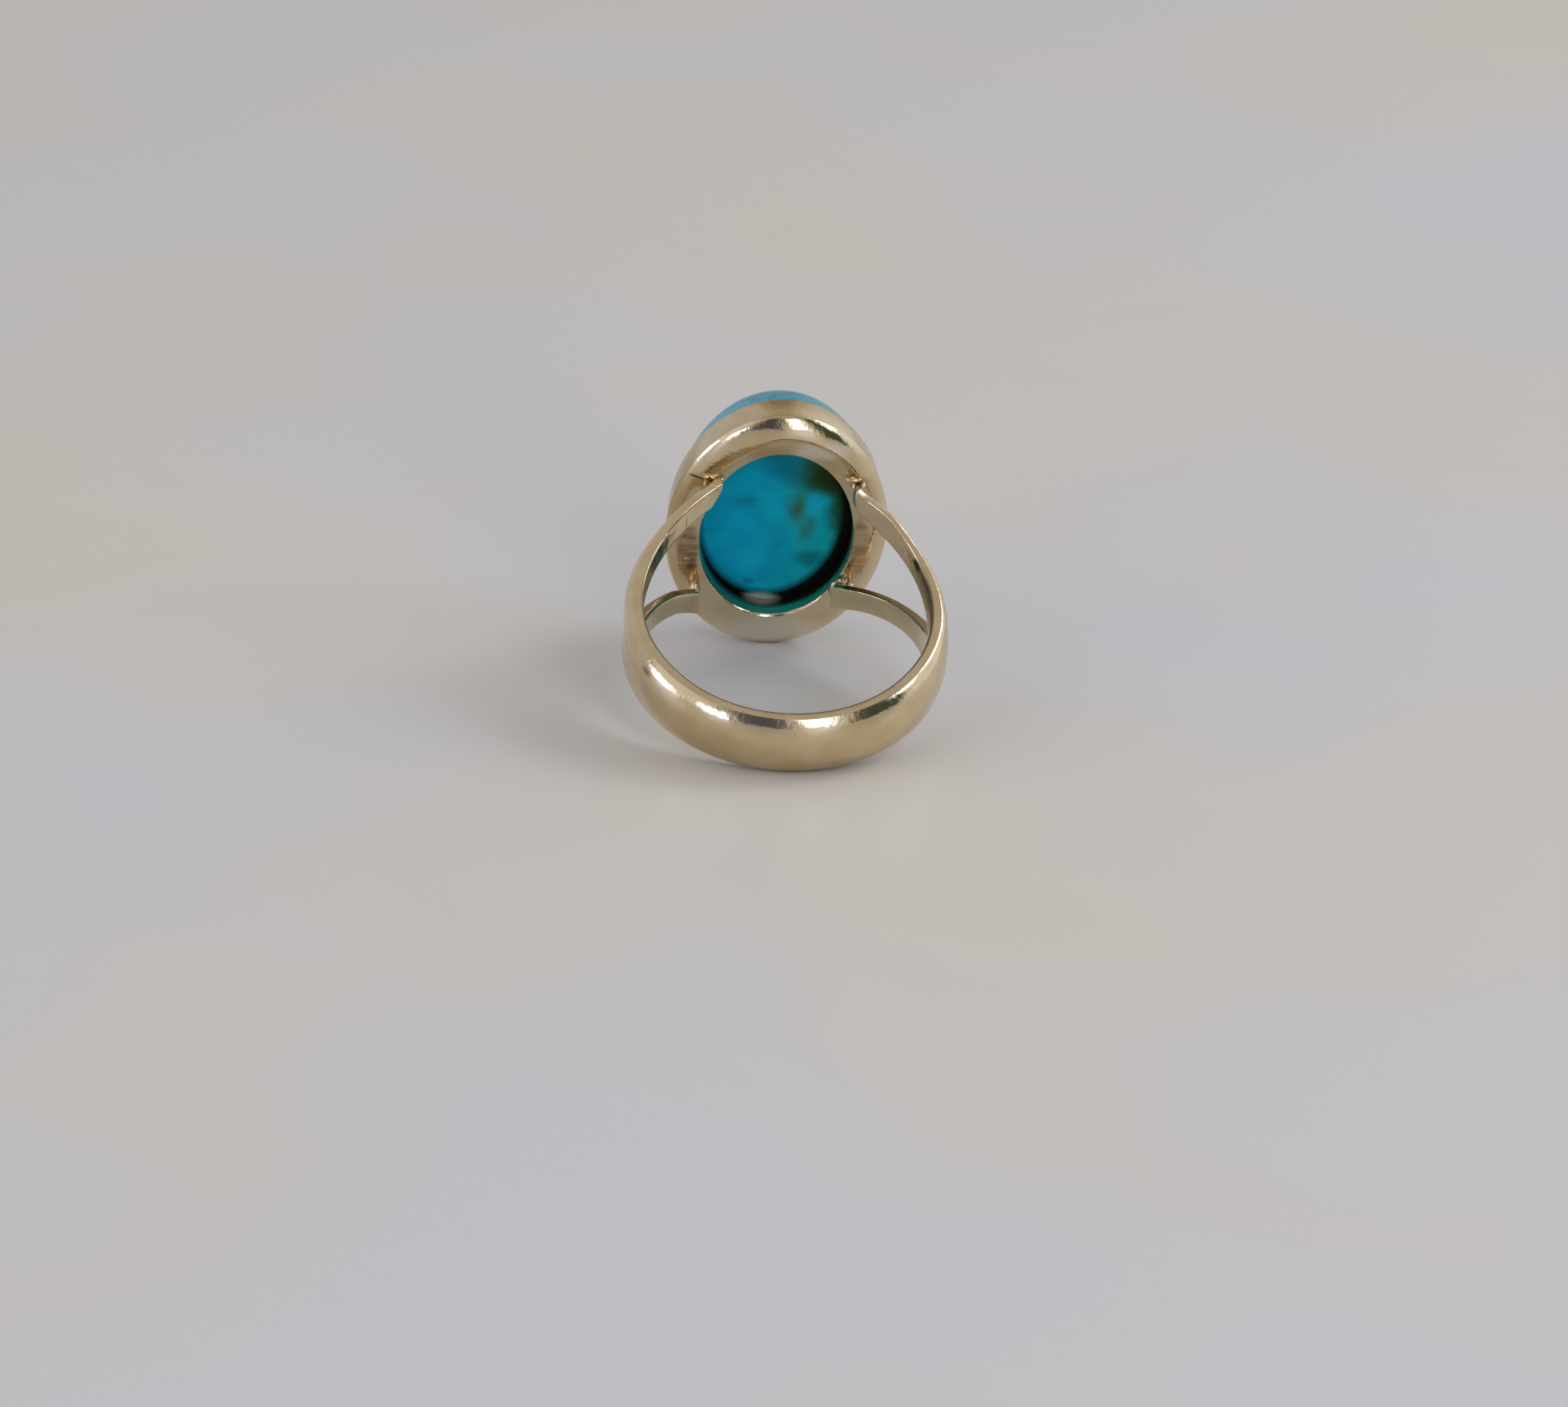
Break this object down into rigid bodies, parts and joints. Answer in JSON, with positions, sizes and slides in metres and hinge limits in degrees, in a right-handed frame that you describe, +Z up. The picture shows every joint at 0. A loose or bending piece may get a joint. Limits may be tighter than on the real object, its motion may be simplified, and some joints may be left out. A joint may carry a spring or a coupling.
{
  "type": "turquoise ring",
  "caption": "Split-shank finger ring in polished pale metal with a large oval turquoise cabochon in a plain open-backed bezel, lying at rest.",
  "frame": {"origin": "on the table, under the middle of the resting ring's bounding box", "axes": "+Z up from the table, +Y from the back of the band towards the stone, +X across the ring, square to the finger hole's axis"},
  "size_m": [0.0204, 0.0268, 0.0189],
  "materials": {
    "ring_metal": "polished pale gold-toned silver with fine wear and a little tarnish",
    "turquoise": "polished blue-green turquoise with dark green and brown matrix"
  },
  "bodies": {
    "root": {"ring_metal": "ring_metal", "turquoise": "turquoise"}
  },
  "joints": []
}
